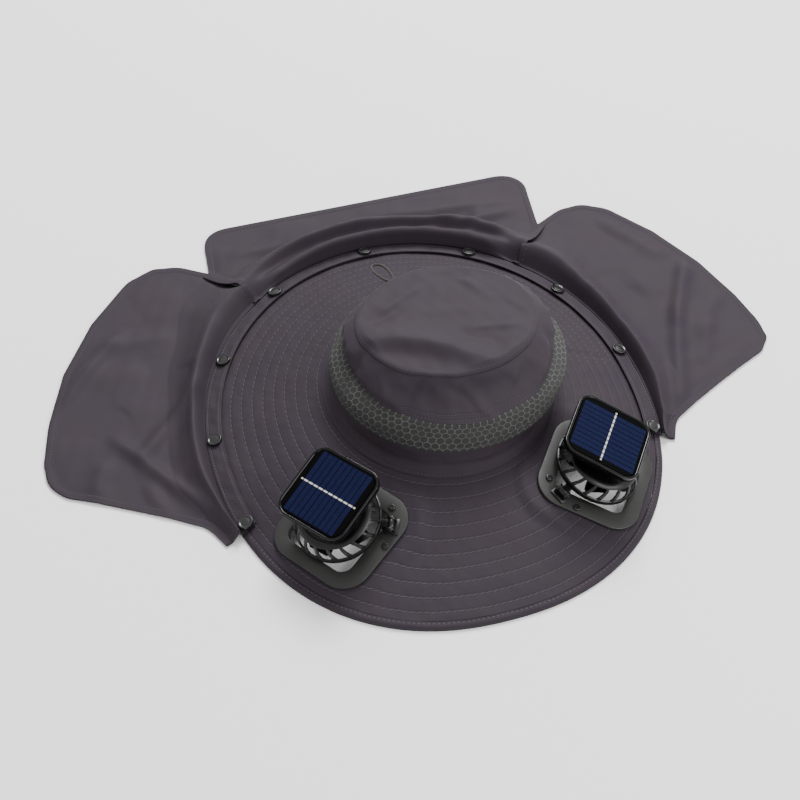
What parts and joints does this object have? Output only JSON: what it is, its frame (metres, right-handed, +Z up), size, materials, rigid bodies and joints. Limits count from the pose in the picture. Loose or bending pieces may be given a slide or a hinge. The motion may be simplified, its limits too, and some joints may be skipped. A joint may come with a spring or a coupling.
{
  "type": "sun hat with solar fans",
  "caption": "Wide-brimmed sun hat lying open with a rolled-out neck cape, a mesh-banded crown and hinged solar fans in rounded frames in the brim.",
  "frame": {"origin": "on the floor under the middle of the laid-out hat", "axes": "+Z up off the floor, -Y to the front of the brim, +X to the right as seen from the front"},
  "size_m": [0.6153, 0.474, 0.1051],
  "materials": {
    "nylon": "matt quilted nylon",
    "mesh": "matt honeycomb mesh",
    "snap_black": "satin",
    "elastic": "matt",
    "abs_grey": "fine grain",
    "abs_black": "satin",
    "gloss_black": "gloss",
    "cell_blue": "clear-coated cells"
  },
  "bodies": {
    "hat": {"brim": "nylon", "brim_binding": "nylon", "cape_back": "nylon", "cape_band": "nylon", "cape_left": "nylon", "cape_right": "nylon", "crown_base_band": "nylon", "crown_loop": "elastic", "crown_mesh_band": "mesh", "crown_top": "nylon", "crown_upper_band": "nylon", "fan_bracket_left": "abs_black", "fan_bracket_right": "abs_black", "fan_frame_left": "abs_grey", "fan_frame_right": "abs_grey", "fan_rivet_a_left": "abs_black", "fan_rivet_a_right": "abs_black", "fan_rivet_b_left": "abs_black", "fan_rivet_b_right": "abs_black", "snap_1": "snap_black", "snap_2": "snap_black", "snap_3": "snap_black", "snap_4": "snap_black", "snap_5": "snap_black", "snap_6": "snap_black", "snap_7": "snap_black", "snap_8": "snap_black", "snap_9": "snap_black"},
    "fan_left": {"fan_cage_left": "abs_black", "fan_motor_left": "abs_black", "panel_post_left": "abs_black", "panel_tray_left": "gloss_black", "panel_cells_left": "cell_blue"},
    "rotor_left": {"fan_rotor_left": "abs_black"},
    "fan_right": {"fan_cage_right": "abs_black", "fan_motor_right": "abs_black", "panel_post_right": "abs_black", "panel_tray_right": "gloss_black", "panel_cells_right": "cell_blue"},
    "rotor_right": {"fan_rotor_right": "abs_black"}
  },
  "joints": [
    {"name": "fan_flip_left", "type": "hinge", "parent": "hat", "child": "fan_left", "pos_m": [-0.06495, -0.15081, 0.02965], "axis": [0.4223, 0.8745, 0.2387], "range_deg": [0, 75]},
    {"name": "rotor_spin_left", "type": "hinge", "parent": "fan_left", "child": "rotor_left", "pos_m": [-0.10106, -0.13237, 0.02597], "axis": [-0.2775, -0.1259, 0.9524], "continuous": true},
    {"name": "fan_flip_right", "type": "hinge", "parent": "hat", "child": "fan_right", "pos_m": [0.06838, -0.15816, 0.02946], "axis": [0.4149, -0.8693, -0.2685], "range_deg": [0, 75]},
    {"name": "rotor_spin_right", "type": "hinge", "parent": "fan_right", "child": "rotor_right", "pos_m": [0.1046, -0.13986, 0.02617], "axis": [0.2817, -0.1579, 0.9464], "continuous": true}
  ]
}
